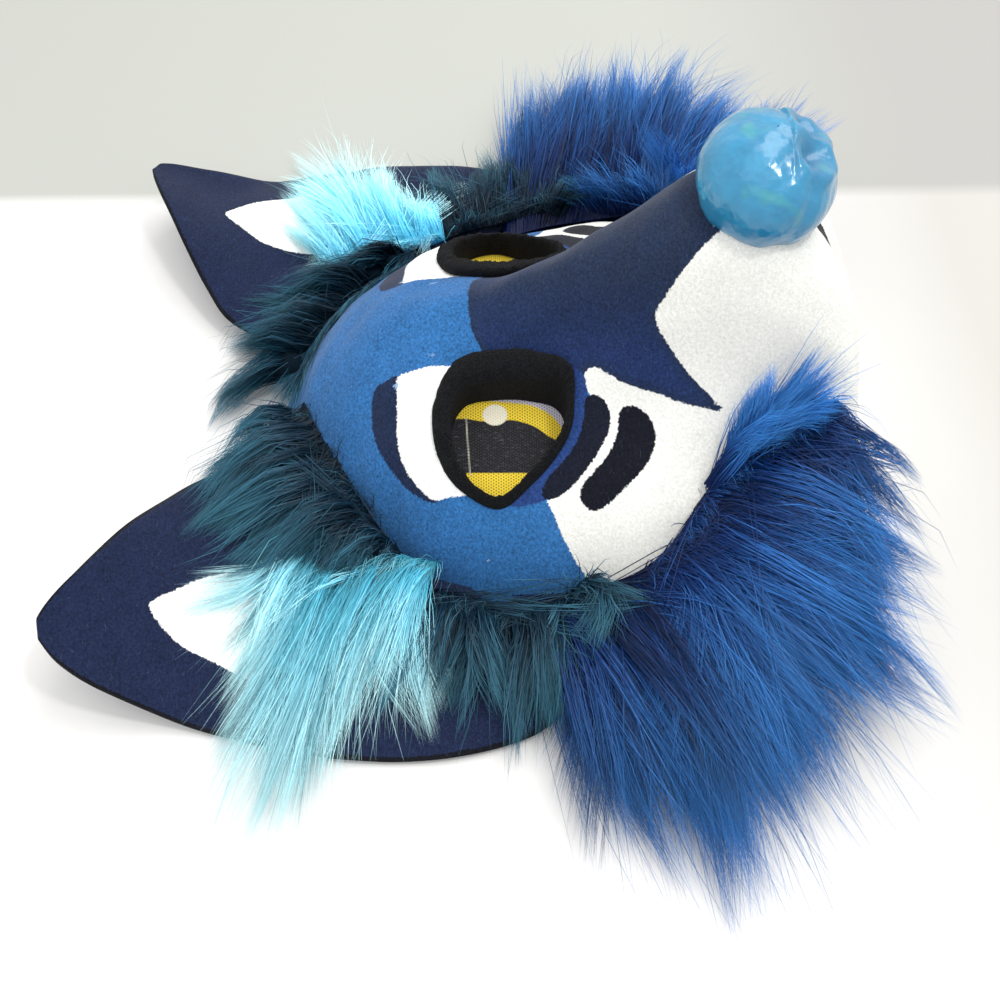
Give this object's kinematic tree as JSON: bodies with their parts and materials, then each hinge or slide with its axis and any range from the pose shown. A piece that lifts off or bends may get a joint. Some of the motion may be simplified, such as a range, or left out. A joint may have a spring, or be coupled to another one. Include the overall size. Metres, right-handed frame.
{
  "type": "fursuit head",
  "caption": "Wearable canine half mask: hollow felt-covered face with rimmed mesh eyes, glossy nose, large ears and long fur at cheeks, temples and brow.",
  "frame": {"origin": "centre of the overall box in plan, on the plane of the shell's flat rim", "axes": "+X to the wearer's left, +Y from the chin to the ear tips, +Z the way the face looks, so that the mask lies on its back"},
  "size_m": [0.376, 0.2689, 0.123],
  "materials": {
    "face_felt": "brushed felt painted in mid blue, navy and off-white",
    "nose_gloss": "clear-coated paint",
    "rim_black": "matt black felt over foam",
    "eye_print": "printed open-weave mesh",
    "ear_felt": "brushed felt with an off-white inner triangle",
    "royal_blue_fur": "long pile faux fur",
    "teal_fur": "long pile faux fur",
    "aqua_fur": "long pile faux fur"
  },
  "bodies": {
    "root": {"face_shell": "face_felt", "nose": "nose_gloss", "eye_rim_right": "rim_black", "eye_rim_left": "rim_black", "eye_mesh_right": "eye_print", "eye_mesh_left": "eye_print", "ear_right": "ear_felt", "ear_left": "ear_felt", "cheek_fur_right": "royal_blue_fur", "cheek_fur_left": "royal_blue_fur", "temple_fur_right": "teal_fur", "temple_fur_left": "teal_fur", "ear_fluff_right": "aqua_fur", "ear_fluff_left": "aqua_fur", "brow_tuft_right": "teal_fur", "brow_tuft_left": "teal_fur"}
  },
  "joints": []
}
